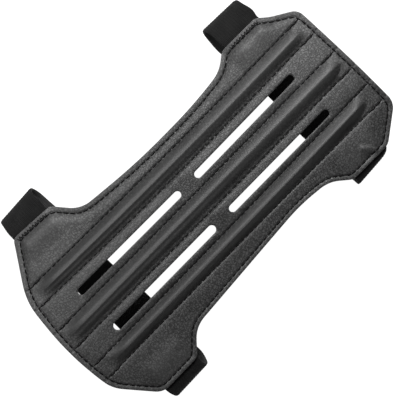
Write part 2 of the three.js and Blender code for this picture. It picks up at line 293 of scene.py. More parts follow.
def inset_corners(inset):
    """Corners of the outline with every side moved inwards."""
    corners = np.array([row[:2] for row in OUTLINE])
    into = corners - np.roll(corners, 1, axis=0)
    into /= np.linalg.norm(into, axis=1, keepdims=True)
    normal_in = np.column_stack((-into[:, 1], into[:, 0]))
    normal_out = np.roll(normal_in, -1, axis=0)
    share = 1.0 + np.sum(normal_in * normal_out, axis=1, keepdims=True)
    return corners + inset * (normal_in + normal_out) / share


def resample_closed(points, step):
    """Points at an even spacing of about step round a closed loop."""
    closed = np.vstack((points, points[:1]))
    along = np.concatenate(([0.0], np.cumsum(np.linalg.norm(np.diff(closed, axis=0), axis=1))))
    count = int(round(along[-1] / step))
    at = np.arange(count) * along[-1] / count
    return np.column_stack([np.interp(at, along, closed[:, k]) for k in range(2)])


def outline_loop(inset=0.0, step=OUTLINE_STEP):
    """Cut outline with its corners rounded, moved inwards by the inset."""
    corners = inset_corners(inset)
    points = []
    for i, corner in enumerate(corners):
        before = corners[i - 1] - corner
        after = corners[(i + 1) % len(corners)] - corner
        length = OUTLINE[i][2]
        start = corner + before * length / np.linalg.norm(before)
        end = corner + after * length / np.linalg.norm(after)
        for t in np.linspace(0.0, 1.0, CORNER_STEPS):
            points.append((1 - t) ** 2 * start + 2 * t * (1 - t) * corner + t * t * end)
    return resample_closed(np.array(points), step)


def slot_loop(low_x, low_y, high_x, high_y, width):
    """Slot edge, clockwise, so that the leather is on its left as along the outline."""
    radius = width / 2
    turn = np.linspace(0.0, math.pi, SLOT_END_STEPS)
    top = np.column_stack((high_x - radius * np.cos(turn), high_y - radius + radius * np.sin(turn)))
    foot = np.column_stack((low_x + radius * np.cos(turn), low_y + radius - radius * np.sin(turn)))
    return resample_closed(np.vstack((top, foot)), OUTLINE_STEP)


def distance_to_loop(x, y, loop):
    """Distance of points to a closed loop's segments."""
    start = loop
    side = np.roll(loop, -1, axis=0) - loop
    length2 = np.sum(side * side, axis=1)
    nearest = np.full(len(x), 1e9)
    for chunk in np.array_split(np.arange(len(x)), max(1, len(x) // 4000)):
        dx = x[chunk, None] - start[None, :, 0]
        dy = y[chunk, None] - start[None, :, 1]
        t = np.clip((dx * side[:, 0] + dy * side[:, 1]) / length2, 0.0, 1.0)
        gap2 = (dx - t * side[:, 0]) ** 2 + (dy - t * side[:, 1]) ** 2
        nearest[chunk] = np.sqrt(gap2.min(axis=1))
    return nearest


def slot_distance(x, y):
    """Distance of points to the nearest slot's edge, negative inside a slot."""
    nearest = np.full(len(x), 1e9)
    for low_x, low_y, high_x, high_y, width in SLOTS:
        low, high = low_y + width / 2, high_y - width / 2
        at = np.clip(y, low, high)
        middle = low_x + (high_x - low_x) * (at - low) / (high - low)
        nearest = np.minimum(nearest, np.hypot(x - middle, y - at) - width / 2)
    return nearest


def inside_loop(x, y, loop):
    """Which points lie inside a closed loop."""
    after = np.roll(loop, -1, axis=0)
    inside = np.zeros(len(x), dtype=bool)
    for (x0, y0), (x1, y1) in zip(loop, after):
        crosses = (y0 > y) != (y1 > y)
        if y0 != y1:
            inside ^= crosses & (x < x0 + (y - y0) * (x1 - x0) / (y1 - y0))
    return inside


EDGE = outline_loop()


def edge_row_sides():
    """x of the edge row on the left and on the right of the panel, at rising y."""
    loop = outline_loop(EDGE_ROW_INSET, 0.4)
    top, foot = np.argmax(loop[:, 1]), np.argmin(loop[:, 1])
    order = np.arange(len(loop))
    left = loop[np.isin(order, np.arange(min(top, foot), max(top, foot) + 1))]
    right = loop[~np.isin(order, np.arange(min(top, foot) + 1, max(top, foot)))]
    if left[:, 0].mean() > right[:, 0].mean():
        left, right = right, left
    return [side[np.argsort(side[:, 1])] for side in (left, right)]


LEFT_SIDE, RIGHT_SIDE = edge_row_sides()

# Heights of the panel's surfaces

def arch_height(x):
    """Height of the back layer's upper face."""
    reach = np.abs(x) / ARCH_REACH
    return CROWN_HEIGHT - np.where(x < 0, LEFT_DROP * reach ** LEFT_POWER, RIGHT_DROP * reach ** RIGHT_POWER)


def arch_slope(x):
    drop, power = (LEFT_DROP, LEFT_POWER) if x < 0 else (RIGHT_DROP, RIGHT_POWER)
    return -math.copysign(1, x) * drop * power * (abs(x) / ARCH_REACH) ** (power - 1) / ARCH_REACH


def across_at(stations, y):
    """x of a row or crest along the panel, by a parabola through its three stations."""
    a, b, c = ROW_STATIONS
    xa, xb, xc = stations
    return (xa * (y - b) * (y - c) / ((a - b) * (a - c))
            + xb * (y - a) * (y - c) / ((b - a) * (b - c))
            + xc * (y - a) * (y - b) / ((c - a) * (c - b)))


def left_face(rounding):
    """Steepness of a left face whose crest is rounded over the given share of its width."""
    return ((0.0, 0.1), (0.3 * rounding, 0.4), (rounding, 0.9), (1.0, 1.1))


def shelf_face(shelf):
    """Steepness of a right face with a shelf at the given share of its width."""
    return ((0.0, 0.1), (0.15 * shelf, 0.6), (0.4 * shelf, 1.1), (shelf, 0.4), (shelf + 0.25, 1.3),
            (0.75, 1.1), (0.86, 0.4), (1.0, 0.3))


def face_height(away, steepness):
    """Height left on a rib's face at a share of the way from the crest to the row."""
    share = np.linspace(0.0, 1.0, 201)
    steep = np.interp(share, *zip(*steepness))
    fallen = np.concatenate(([0.0], np.cumsum(steep[1:] + steep[:-1])))
    return 1.0 - np.interp(away, share, fallen / fallen[-1])


def rib_height(rib, x, y):
    """Rib between its two rows: a gentle left face and a steep right one that meet in a crisp crest."""
    left = across_at(SEWN_ROWS[rib["rows"][0]], y) + RIB_MARGIN
    right = across_at(SEWN_ROWS[rib["rows"][1]], y) - RIB_MARGIN
    crest = across_at(rib["crest"], y)
    widened = np.clip((rib["top"] - y) / rib["widening"], 0.0, 1.0)
    right_width = (right - crest) * (RIGHT_TOP_SHARE + (1.0 - RIGHT_TOP_SHARE) * widened)
    away = np.clip(np.abs(x - crest) / np.where(x < crest, crest - left, right_width), 0.0, 1.0)
    low = smooth((SHELF_FROM - y) / (SHELF_FROM - SHELF_TO))
    upper_left = face_height(away, left_face(rib["round"]))
    lower_left = face_height(away, LOW_LEFT_FACE)
    upper_right = face_height(away, RIGHT_FACE)
    lower_right = face_height(away, shelf_face(rib["shelf"]))
    left_side = upper_left * (1.0 - low) + lower_left * low
    right_side = upper_right * (1.0 - low) + lower_right * low
    face = np.where(x < crest, left_side, right_side)
    taper = smooth((rib["top"] - y) / RIB_TOP_TAPER) * smooth((y - rib["foot"]) / RIB_FOOT_TAPER)
    return rib["height"] * face * taper


def ribs_height(x, y):
    return sum(rib_height(rib, x, y) for rib in RIBS)


def pocket_rise(x, y):
    """Rise of the face over the sewn strap tails."""
    rise = np.zeros_like(x)
    for name, hand, crest, fall in EARS:
        end = STRAPS[name][hand]
        side = 1 if end["ear"] > 0 else -1
        inward = side * (end["ear"] - x)
        outer = POCKET_EDGE + (POCKET_TOP - POCKET_EDGE) * smooth(inward / crest)
        across = outer * (1.0 - smooth((inward - crest) / fall))
        along = 1.0 - smooth((np.abs(y - end["along"]) - POCKET_HALF) / POCKET_FADE)
        rise = np.maximum(rise, np.where(side * x > 0, across * along, 0.0))
    return rise


def ear_relief(x, y):
    """Bulges, dents and the crease of the ears."""
    relief = np.zeros_like(x)
    for bump_x, bump_y, half_width, half_length, height in EAR_BUMPS:
        relief += height * bell(x - bump_x, half_width) * bell(y - bump_y, half_length)
    (x0, y0), (x1, y1), width, height = EAR_CREASE
    part = ((x - x0) * (x1 - x0) + (y - y0) * (y1 - y0)) / ((x1 - x0) ** 2 + (y1 - y0) ** 2)
    part = np.clip(part, 0.0, 1.0)
    gap = np.hypot(x - x0 - part * (x1 - x0), y - y0 - part * (y1 - y0))
    return relief + height * bell(gap, width)


def ripple(x, y):
    """Slow unevenness of a sewn leather sheet."""
    return (0.10 * np.sin(x / 5.3 + 0.7 * np.sin(y / 13.0)) * np.cos(y / 9.1 + 0.4)
            + 0.07 * np.sin((x + 1.3 * y) / 7.7 + 1.9)
            + 0.05 * np.sin((x - 0.8 * y) / 4.1 + 0.3))


def channel_swell(x, y):
    """Swelling between sewn rows: it rises quickly from the left row and sinks to the right, or mirrored."""
    rows = [across_at(row, y) for row in SEWN_ROWS]
    left = np.interp(y, LEFT_SIDE[:, 1], LEFT_SIDE[:, 0])
    right = np.interp(y, RIGHT_SIDE[:, 1], RIGHT_SIDE[:, 0])
    swell = np.zeros_like(x)
    bridge = bell(y, BRIDGE_REACH)
    above = smooth((y - CHANNEL_TOP) / CHANNEL_TOP_FADE)
    spans = ((left, rows[0]), (rows[1], rows[2]), (rows[3], rows[4]), (rows[5], right))
    for (start, end), channel in zip(spans, CHANNELS):
        width = np.maximum(end - start, 0.01)
        part = np.clip(x - start, 0.0, width)
        fall = channel["fall"] + (channel["bridge_fall"] - channel["fall"]) * bridge
        fall = fall + (channel["top_fall"] - channel["fall"]) * above
        rise = channel["rise"] + (min(BRIDGE_RISE, channel["rise"]) - channel["rise"]) * bridge
        rise = np.where(fall < 0.0, MIRRORED_RISE, rise)
        part = np.where(fall < 0.0, width - part, part)
        fall = np.minimum(np.abs(fall), channel["most"] / width)
        swell += fall * (width * (1.0 - np.exp(-part / rise)) - part)
    return swell


def slot_crown(x, y):
    """Rise of the leather from the sewn rows, levelling out at the edges of the slots."""
    crown = np.zeros_like(x)
    for low_x, low_y, high_x, high_y, width in SLOTS:
        middle = low_x + (high_x - low_x) * np.clip((y - low_y) / (high_y - low_y), 0.0, 1.0)
        rows = (1, 2) if low_x < 0 else (3, 4)
        for row, side, rise in zip(rows, (-1, 1), (SLOT_CROWN_LEFT, SLOT_CROWN_RIGHT)):
            edge = middle + side * width / 2
            beside = (across_at(SEWN_ROWS[row], y) - x) / (across_at(SEWN_ROWS[row], y) - edge)
            here = np.where(side * (x - middle) > 0, np.clip(beside, 0.0, 1.0), 0.0)
            ends = smooth((y - low_y) / SLOT_CROWN_FADE) * smooth((high_y - y) / SLOT_CROWN_FADE)
            crown += rise * here * (2.0 - here) * ends
    return crown


def stitch_dip(x, y, edge_gap):
    """How far the thread pulls the face down along the sewn rows and the edge row."""
    inset = EDGE_ROW_INSET - EDGE_ROW_SHIFT * np.clip(x / EDGE_ROW_TURN, -1.0, 1.0)
    dip = np.zeros_like(x)
    for row in SEWN_ROWS:
        dip = np.maximum(dip, bell(x - across_at(row, y), ROW_VALLEY_WIDTH))
    return ROW_VALLEY * np.maximum(dip, bell(edge_gap - inset, ROW_VALLEY_WIDTH))


def front_height(x, y):
    """Height of the face."""
    edge_gap = distance_to_loop(x, y, EDGE)
    pocket = pocket_rise(x, y)
    z = arch_height(x) + GAP + FRONT_THICKNESS + pocket
    ribs = ribs_height(x, y)
    flat_share = np.clip(1.0 - ribs, 0.0, 1.0)
    inside = smooth((edge_gap - EDGE_ROW_INSET) / RELIEF_FADE)
    flare = np.clip(1.0 - edge_gap / EDGE_ROW_INSET, 0.0, 1.0)
    relief = ripple(x, y) + channel_swell(x, y) + slot_crown(x, y)
    z += ribs + relief * flat_share * inside + ear_relief(x, y)
    z += EDGE_FLARE * (1.0 + pocket) * flare
    return z - stitch_dip(x, y, edge_gap)


def front_underside(x, y):
    """Height of the face's hidden side, which rises over the strap tails."""
    return arch_height(x) + GAP + UNDERSIDE_POCKET * pocket_rise(x, y)


def back_height(x, y):
    """Height of the rear face of the back layer."""
    dip = stitch_dip(x, y, distance_to_loop(x, y, EDGE))
    uneven = BACK_RIPPLE * ripple(y / 1.3, x * 1.7)
    return arch_height(x) - BACK_THICKNESS + BACK_VALLEY * dip + uneven


# Placing the guard's own axes in the frame

panel_low, panel_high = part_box("front_panel")
SHIFT = np.append([
    (panel_low[k] + panel_high[k]) / 2 / MM - (EDGE[:, k].min() + EDGE[:, k].max()) / 2
    for k in range(2)
], 0.0)


def to_frame(points):
    return (np.asarray(points, dtype=float) + SHIFT) * MM


def placed(name, data):
    """New object in the scene."""
    obj = bpy.data.objects.new(name, data)
    bpy.context.scene.collection.objects.link(obj)
    return obj


def new_object(name, points, faces, materials, face_slots=None):
    mesh = bpy.data.meshes.new(name)
    mesh.from_pydata(to_frame(points).tolist(), [], faces)
    for material in materials:
        mesh.materials.append(material)
    if face_slots is not None:
        mesh.polygons.foreach_set("material_index", np.asarray(face_slots, dtype=np.int32))
    mesh.polygons.foreach_set("use_smooth", np.ones(len(mesh.polygons), dtype=bool))
    mesh.update()
    return placed(name, mesh)


# Materials

def new_material(name):
    material = bpy.data.materials.new(name)
    material.use_nodes = True
    tree = material.node_tree
    return material, tree, tree.nodes["Principled BSDF"]


def feed(tree, socket, value):
    """Link an output to a socket, or set the socket to a constant."""
    if isinstance(value, bpy.types.NodeSocket):
        tree.links.new(value, socket)
    else:
        socket.default_value = value


def add_node(tree, kind, settings=None, **inputs):
    node = tree.nodes.new(kind)
    for key, value in (settings or {}).items():
        setattr(node, key, value)
    for key, value in inputs.items():
        feed(tree, node.inputs[key], value)
    return node


def colour_ramp(tree, value, stops):
    """Grey that runs between two stops of (position, grey)."""
    node = add_node(tree, "ShaderNodeValToRGB", Fac=value)
    elements = node.color_ramp.elements
    for element, (position, grey) in zip(elements, stops):
        element.position = position
        element.color = (grey, grey, grey, 1.0)
    return node.outputs["Color"]


def map_range(tree, value, source, target, interpolation="LINEAR"):
    node = add_node(tree, "ShaderNodeMapRange", {"interpolation_type": interpolation}, Value=value)
    node.inputs["From Min"].default_value, node.inputs["From Max"].default_value = source
    node.inputs["To Min"].default_value, node.inputs["To Max"].default_value = target
    return node.outputs["Result"]


def combined(tree, operation, a, b):
    node = add_node(tree, "ShaderNodeMath", {"operation": operation})
    feed(tree, node.inputs[0], a)
    feed(tree, node.inputs[1], b)
    return node.outputs["Value"]


def multiplied(tree, a, b):
    return combined(tree, "MULTIPLY", a, b)


def added(tree, a, b):
    return combined(tree, "ADD", a, b)


def dress(tree, shader, colour, height, strength, depth):
    """Colour and bump of a shader."""
    bump = add_node(tree, "ShaderNodeBump", Height=height, Strength=strength, Distance=depth * MM)
    tree.links.new(colour, shader.inputs["Base Color"])
    tree.links.new(bump.outputs["Normal"], shader.inputs["Normal"])


def leather_material(name, greys, roughness, grain_cells, grain_depth):
    """Black pebbled leather: greys and roughness in the crevices and on the pebbles, cells of the grain to a
    metre, and its depth. On the face, stretch smooths the grain, and painted shade darkens the ribs' faces
    that turn from the light."""
    material, tree, shader = new_material(name)
    place = add_node(tree, "ShaderNodeTexCoord").outputs["Object"]
    warp = add_node(tree, "ShaderNodeTexNoise", Vector=place, Scale=420.0, Detail=2.0)
    bent = add_node(tree, "ShaderNodeVectorMath", {"operation": "MULTIPLY_ADD"})
    tree.links.new(warp.outputs["Color"], bent.inputs[0])
    bent.inputs[1].default_value = (0.0009,) * 3
    tree.links.new(place, bent.inputs[2])
    cells = add_node(tree, "ShaderNodeTexVoronoi", {"feature": "DISTANCE_TO_EDGE"},
                     Vector=bent.outputs["Vector"], Scale=grain_cells)
    pebbles = map_range(tree, cells.outputs["Distance"], (0.0, 0.2), (0.0, 1.0))
    crinkle = add_node(tree, "ShaderNodeTexNoise", Vector=bent.outputs["Vector"],
                       Scale=1.5 * grain_cells, Detail=1.0)
    pebbles = multiplied(tree, pebbles, map_range(tree, crinkle.outputs["Fac"], (0.36, 0.48), (0.0, 1.0)))
    fine = add_node(tree, "ShaderNodeTexNoise", Vector=place, Scale=2600.0, Detail=3.0)
    mottle = add_node(tree, "ShaderNodeTexNoise", Vector=place, Scale=70.0, Detail=4.0)
    stretch = add_node(tree, "ShaderNodeAttribute", {"attribute_name": "stretch"})
    # Painted shade: an attribute that darkens the ribs' faces that turn from the light
    painted_shade = add_node(tree, "ShaderNodeAttribute", {"attribute_name": "painted_shade"})
    relaxed = map_range(tree, stretch.outputs["Fac"], (0.0, 1.0), (1.0, 0.35))
    filled = map_range(tree, stretch.outputs["Fac"], (0.0, 1.0), (0.0, 0.4))
    grain = added(tree, multiplied(tree, pebbles, relaxed), filled)
    height = added(tree, grain, multiplied(tree, fine.outputs["Fac"], 0.35))
    shade = multiplied(tree, grain, map_range(tree, mottle.outputs["Fac"], (0.0, 1.0), (0.6, 1.4)))
    # Painted shade: the colour goes down to a tenth where the attribute is full
    shade = multiplied(tree, shade, map_range(tree, painted_shade.outputs["Fac"], (0.0, 1.0), (1.0, 0.1)))
    colour = colour_ramp(tree, shade, ((0.05, greys[0]), (0.9, greys[1])))
    dress(tree, shader, colour, height, 0.7, grain_depth)
    tree.links.new(map_range(tree, grain, (0.0, 1.0), roughness), shader.inputs["Roughness"])
    return material


def cut_edge_material():
    """Raw cut edge: a paler fibrous core."""
    material, tree, shader = new_material("cut_edge")
    place = add_node(tree, "ShaderNodeTexCoord").outputs["Object"]
    fibre = add_node(tree, "ShaderNodeTexNoise", Vector=place, Scale=1500.0, Detail=4.0)
    colour = colour_ramp(tree, fibre.outputs["Fac"], ((0.3, 0.05), (0.7, 0.11)))
    dress(tree, shader, colour, fibre.outputs["Fac"], 0.8, 0.15)
    shader.inputs["Roughness"].default_value = 0.85
    return material


def thread_material():
    """Twisted black polyester thread."""
    material, tree, shader = new_material("black_thread")
    place = add_node(tree, "ShaderNodeTexCoord").outputs["Object"]
    twist = add_node(tree, "ShaderNodeTexWave", {"bands_direction": "DIAGONAL"}, Vector=place, Scale=900.0)
    colour = colour_ramp(tree, twist.outputs["Fac"], ((0.1, 0.001), (0.9, 0.003)))
    dress(tree, shader, colour, twist.outputs["Fac"], 0.5, 0.08)
    shader.inputs["Roughness"].default_value = 0.7
    shader.inputs["Specular IOR Level"].default_value = 0.06
    return material


def elastic_material(name, greys):
    """Black woven elastic: the UV map runs along the strap and across it, in metres."""
    material, tree, shader = new_material(name)
    place = add_node(tree, "ShaderNodeTexCoord").outputs["UV"]
    picks = add_node(tree, "ShaderNodeTexWave", {"bands_direction": "X"}, Vector=place, Scale=520.0)
    cords = add_node(tree, "ShaderNodeTexWave", {"bands_direction": "Y"}, Vector=place, Scale=480.0)
    fuzz = add_node(tree, "ShaderNodeTexNoise", Vector=place, Scale=3000.0, Detail=2.0)
    wear = add_node(tree, "ShaderNodeTexNoise", Vector=place, Scale=120.0, Detail=3.0)
    height = added(tree, added(tree, picks.outputs["Fac"], cords.outputs["Fac"]), fuzz.outputs["Fac"])
    shade = multiplied(tree, wear.outputs["Fac"], picks.outputs["Fac"])
    colour = colour_ramp(tree, shade, ((0.05, greys[0]), (0.6, greys[1])))
    dress(tree, shader, colour, height, 0.7, 0.12)
    shader.inputs["Roughness"].default_value = 0.85
    shader.inputs["Specular IOR Level"].default_value = 0.12
    return material


# Panel layers

def inward_normals(loop):
    """Directions from a loop into the leather."""
    side = np.roll(loop, -1, axis=0) - np.roll(loop, 1, axis=0)
    side /= np.linalg.norm(side, axis=1, keepdims=True)
    return np.column_stack((-side[:, 1], side[:, 0]))


def fill_loops(loops, inner):
    """Triangles over the leather between the loops, through the inner points. Vertices keep their order."""
    points = np.vstack(loops + [inner])
    edges = []
    first = 0
    for loop in loops:
        count = len(loop)
        edges += [(first + i, first + (i + 1) % count) for i in range(count)]
        first += count
    found = delaunay_2d_cdt([Vector(p) for p in points], edges, [], 1, 1e-7)
    place, faces, origin = np.array([tuple(v) for v in found[0]]), np.array(found[2]), found[3]
    source = np.array([sources[0] for sources in origin])
    middle = place[faces].mean(axis=1)
    leather = slot_distance(middle[:, 0], middle[:, 1]) > 0
    return points, source[faces[leather]]


def grid_inside(step, margin):
    """Points of an even grid on the leather, at least margin away from its edges."""
    x, y = (a.ravel() for a in np.meshgrid(np.arange(*GRID_ACROSS, step), np.arange(*GRID_ALONG, step)))
    keep = inside_loop(x, y, EDGE) & (slot_distance(x, y) > margin)
    x, y = x[keep], y[keep]
    keep = distance_to_loop(x, y, EDGE) > margin
    return np.column_stack((x[keep], y[keep]))


def control_lines(y):
    """x of the sewn rows and crests in their order across the panel, between two lines beyond its sides."""
    lines = [-BEYOND]
    for rib in RIBS:
        left, right = rib["rows"]
        lines += [across_at(SEWN_ROWS[left], y), across_at(rib["crest"], y), across_at(SEWN_ROWS[right], y)]
    return np.array(lines + [BEYOND])


def divided(keys, widest):
    """Sorted keys with every wider gap divided evenly."""
    keys = np.unique(np.round(keys, 1))
    parts = []
    for a, b in zip(keys[:-1], keys[1:]):
        count = max(1, math.ceil((b - a) / widest))
        parts.append(np.linspace(a, b, count + 1)[:-1])
    return np.concatenate(parts + [keys[-1:]])


def face_points():
    """Mesh points of the face: columns that follow the sewn rows and the crests, and rings along the edge."""
    lines = control_lines(0.0)
    keys = [lines[[0, -1]]]
    for left, crest, right in lines[1:-1].reshape(-1, 3):
        keys += [left + np.array(ROW_COLUMNS), right + np.array(ROW_COLUMNS), crest + np.array(CREST_COLUMNS)]
        keys.append(divided([left, right], RIB_COLUMN))
    columns = divided(np.concatenate(keys), FLAT_COLUMN)
    rows = np.arange(EDGE[:, 1].min(), EDGE[:, 1].max(), FINE_ROW)
    x = np.concatenate([np.interp(columns, lines, control_lines(y)) for y in rows])
    y = np.repeat(rows, len(columns))
    keep = inside_loop(x, y, EDGE) & (slot_distance(x, y) > SLOT_INSET)
    x, y = x[keep], y[keep]
    keep = distance_to_loop(x, y, EDGE) > GRID_INSET
    return np.vstack([np.column_stack((x[keep], y[keep]))] + [outline_loop(inset) for inset in EDGE_RINGS])


def layer_mesh(name, rings, top_grid, foot_grid, top_height, foot_height, materials):
    """A sheet whose cut edges follow rings of (inset, share of the thickness from the top)."""
    loops = [EDGE] + [slot_loop(*slot) for slot in SLOTS]
    loop_points = np.vstack(loops)
    normals = np.vstack([inward_normals(loop) for loop in loops])
    counts = [len(loop) for loop in loops]
    starts = np.concatenate(([0], np.cumsum(counts)))
    total = len(loop_points)

    def ring_loops(inset):
        moved = loop_points + inset * normals
        return [moved[a:b] for a, b in zip(starts[:-1], starts[1:])]

    points, faces, slots = [], [], []
    top_xy, top_faces = fill_loops(ring_loops(rings[0][0]), top_grid)
    foot_xy, foot_faces = fill_loops(ring_loops(rings[-1][0]), foot_grid)
    top_z = top_height(top_xy[:, 0], top_xy[:, 1])
    foot_z = foot_height(foot_xy[:, 0], foot_xy[:, 1])
    points.append(np.column_stack((top_xy, top_z)))
    faces += top_faces.tolist()
    slots += [0] * len(top_faces)
    first = [0]
    count = len(top_xy)
    for inset, share in rings[1:-1]:
        ring_xy = loop_points + inset * normals
        ring_z = top_z[:total] * (1 - share) + foot_z[:total] * share
        points.append(np.column_stack((ring_xy, ring_z)))
        first.append(count)
        count += total
    points.append(np.column_stack((foot_xy, foot_z)))
    first.append(count)
    faces += (foot_faces[:, ::-1] + count).tolist()
    slots += [0] * len(foot_faces)
    for level, (upper_ring, lower_ring) in enumerate(zip(first[:-1], first[1:])):
        cut = 1 if 0 < level < len(first) - 2 else 0
        for a, b in zip(starts[:-1], starts[1:]):
            here = np.arange(a, b)
            after = np.roll(here, -1)
            corners = (upper_ring + here, lower_ring + here, lower_ring + after, upper_ring + after)
            quads = np.column_stack(corners)
            faces += quads.tolist()
            slots += [cut] * len(quads)
    return new_object(name, np.vstack(points), faces, materials, slots)


def make_front(materials):
    fine = face_points()
    coarse = grid_inside(UNDER_GRID, UNDER_INSET)
    front = layer_mesh("front_leather", FRONT_RINGS, fine, coarse, front_height, front_underside, materials)
    add_stretch_and_shade(front)
    return front


def add_stretch_and_shade(obj):
    """Where the leather is pulled smooth, over the ribs and the strap tails, and where painted shade darkens
    the ribs' faces that turn from the light.
    """
    mesh = obj.data
    place = np.empty(3 * len(mesh.vertices))
    mesh.vertices.foreach_get("co", place)
    x, y = (place.reshape(-1, 3) / MM - SHIFT)[:, :2].T
    stretch = RIB_STRETCH * ribs_height(x, y) + POCKET_STRETCH * pocket_rise(x, y) / POCKET_TOP
    stretch += FOOT_STRETCH * smooth((FOOT_STRETCH_FROM - y) / FOOT_STRETCH_LENGTH)
    # Painted shade on the ribs: full on the steep right faces, which turn from the light, and partial on the
    # left faces towards the foot of the panel, where less light reaches
    painted_shade = np.zeros_like(x)
    for rib in RIBS:
        fall = (rib_height(rib, x - FALL_STEP, y) - rib_height(rib, x + FALL_STEP, y)) / (2 * FALL_STEP)
        painted_shade += rib["right_face_shade"] * np.clip(fall / PAINTED_SHADE_FALL, 0.0, 1.0)
        raised = smooth(rib_height(rib, x, y) / SHADE_HEIGHT) * (fall < 0.0)
        painted_shade += LEFT_FACE_SHADE * raised * smooth((rib["shade_from"] - y) / SHADE_LENGTH)
    for name, value in (("stretch", stretch), ("painted_shade", painted_shade)):
        layer = mesh.attributes.new(name, "FLOAT", "POINT")
        layer.data.foreach_set("value", np.clip(value, 0.0, 1.0).astype(np.float32))


def make_back(materials):
    grid = grid_inside(BACK_GRID, BACK_INSET)
    return layer_mesh("back_leather", BACK_RINGS, grid, grid, lambda x, y: arch_height(x), back_height,
                      materials)


# Stitching

def stitch_mesh(name, paths, height, lift, material):
    """Threads between needle holes: each path is a radius and a list of holes, sewn one stitch per pair."""
    sides, steps = 6, 7
    share = np.linspace(STITCH_START, STITCH_END, steps)
    bow = np.sqrt(np.sin(math.pi * np.linspace(0.0, 1.0, steps)).clip(0.0))
    starts = np.vstack([holes[:-1] for _, holes in paths])
    ends = np.vstack([holes[1:] for _, holes in paths])
    radius = np.concatenate([np.full(len(holes) - 1, r) for r, holes in paths])
    count = len(starts)
    spots = starts[:, None, :] * (1 - share)[None, :, None] + ends[:, None, :] * share[None, :, None]
    surface = height(spots[:, :, 0].ravel(), spots[:, :, 1].ravel()).reshape(count, steps)
    beside = np.column_stack((starts[:, 1] - ends[:, 1], ends[:, 0] - starts[:, 0]))
    beside /= np.linalg.norm(beside, axis=1, keepdims=True)
    angles = np.arange(sides) * 2 * math.pi / sides
    thick = radius[:, None] * (0.55 + 0.45 * bow)[None, :]
    middle = surface + lift * radius[:, None] * (0.8 * bow - 0.5)[None, :]
    points = np.empty((count, steps, sides, 3))
    outward = thick[:, :, None] * np.cos(angles)
    for k in range(2):
        points[:, :, :, k] = spots[:, :, None, k] + beside[:, None, None, k] * outward
    points[:, :, :, 2] = middle[:, :, None] + thick[:, :, None] * np.sin(angles)
    faces = []
    for stitch in range(count):
        first = stitch * steps * sides
        for step in range(steps - 1):
            for side in range(sides):
                a = first + step * sides + side
                b = first + step * sides + (side + 1) % sides
                faces.append((a, b, b + sides, a + sides))
        faces.append(tuple(first + side for side in reversed(range(sides))))
        faces.append(tuple(first + (steps - 1) * sides + side for side in range(sides)))
    return new_object(name, points.reshape(-1, 3), faces, [material])


def row_holes(row):
    """Needle holes of one sewn row, from edge row to edge row, with a back-tack at both ends."""
    inner = outline_loop(EDGE_ROW_INSET, 1.0)
    near = np.abs(inner[:, 0] - row[1]) < ROW_END_REACH
    top = inner[near & (inner[:, 1] > 0), 1].max() - ROW_END_GAP
    foot = inner[near & (inner[:, 1] < 0), 1].min() + ROW_END_GAP
    count = int(round((top - foot) / STITCH_PITCH))
    y = np.linspace(foot, top, count + 1)
    line = np.column_stack((across_at(row, y), y))
    tack = [line[:3] + (BACK_TACK, STITCH_PITCH / 2), line[-3:] + (BACK_TACK, -STITCH_PITCH / 2)]
    return [(THREAD_RADIUS, holes) for holes in [line] + tack]


def edge_holes():
    """Needle holes of the edge row, all round the panel."""
    loop = outline_loop(EDGE_ROW_INSET, STITCH_PITCH) + (EDGE_ROW_SHIFT, 0.0)
    return [(EDGE_THREAD_RADIUS, np.vstack((loop, loop[:1])))]


def tack_holes(strap):
    """Zigzag of the bar tack across a strap tail in its left ear."""
    middle = strap["left"]["along"]
    y = np.arange(middle - TACK_LENGTH / 2, middle + TACK_LENGTH / 2, TACK_PITCH)
    near = EDGE[EDGE[:, 0] < LEFT_EARS]
    near = near[np.argsort(near[:, 1])]
    inset = np.where(np.arange(len(y)) % 2 == 0, *TACK_INSETS)
    return (TACK_RADIUS, np.column_stack((np.interp(y, near[:, 1], near[:, 0]) + inset, y)))


# Straps

def loop_half(end, side):
    """Centre line of half a loop, from its tail between the layers to the floor: x and z."""
    ear, reach, lead = end["ear"], end["reach"], end["lead"]
    half = STRAP_THICKNESS / 2
    tail = ear - side * STRAP_TAIL * np.linspace(1.0, 0.0, TAIL_STEPS + 1)
    points = list(np.column_stack((tail, arch_height(tail) + GAP / 2 + STRAP_TAIL_THICKNESS / 2)))
    heading = math.atan(-side * arch_slope(ear))
    points.append(points[-1] + lead * np.array((side * math.cos(heading), -math.sin(heading))))
    upper_radius = (reach - half - lead * math.cos(heading)) / (1 - math.sin(heading))
    upper_fall = upper_radius * (math.cos(heading) - math.cos(BEND_CHANGE))
    lower_radius = (points[-1][1] - half - upper_fall) / (1 + math.cos(BEND_CHANGE))
    for radius, begin, finish in ((upper_radius, heading, BEND_CHANGE), (lower_radius, BEND_CHANGE, math.pi)):
        start = points[-1]
        for angle in np.linspace(begin, finish, BEND_STEPS)[1:]:
            out = radius * (math.sin(angle) - math.sin(begin))
            down = radius * (math.cos(begin) - math.cos(angle))
            points.append(start + np.array((side * out, -down)))
    return np.array(points)


def half_line(end, side):
    """Centre line of half a loop: x, y, z, and how far the band splays, is rounded off and bulges."""
    half = loop_half(end, side)
    part = np.clip((np.arange(len(half)) - TAIL_STEPS) / (len(half) - 1 - TAIL_STEPS), 0.0, 1.0)
    y = end["along"] + (end["floor"] - end["along"]) * smooth(part)
    past = np.maximum(0.0, side * (half[:, 0] - end["ear"]))
    upper = 1.0 - smooth((part - BULGE_SHARE) / BULGE_SHARE)
    bulge = end["bulge"] * bell(past - BULGE_AT, BULGE_REACH) * upper * (part > 0)
    splay, corner = side * end["splay"] * past, side * end["corner"] * past
    return np.column_stack((half[:, 0], y, half[:, 1], splay, corner, bulge))


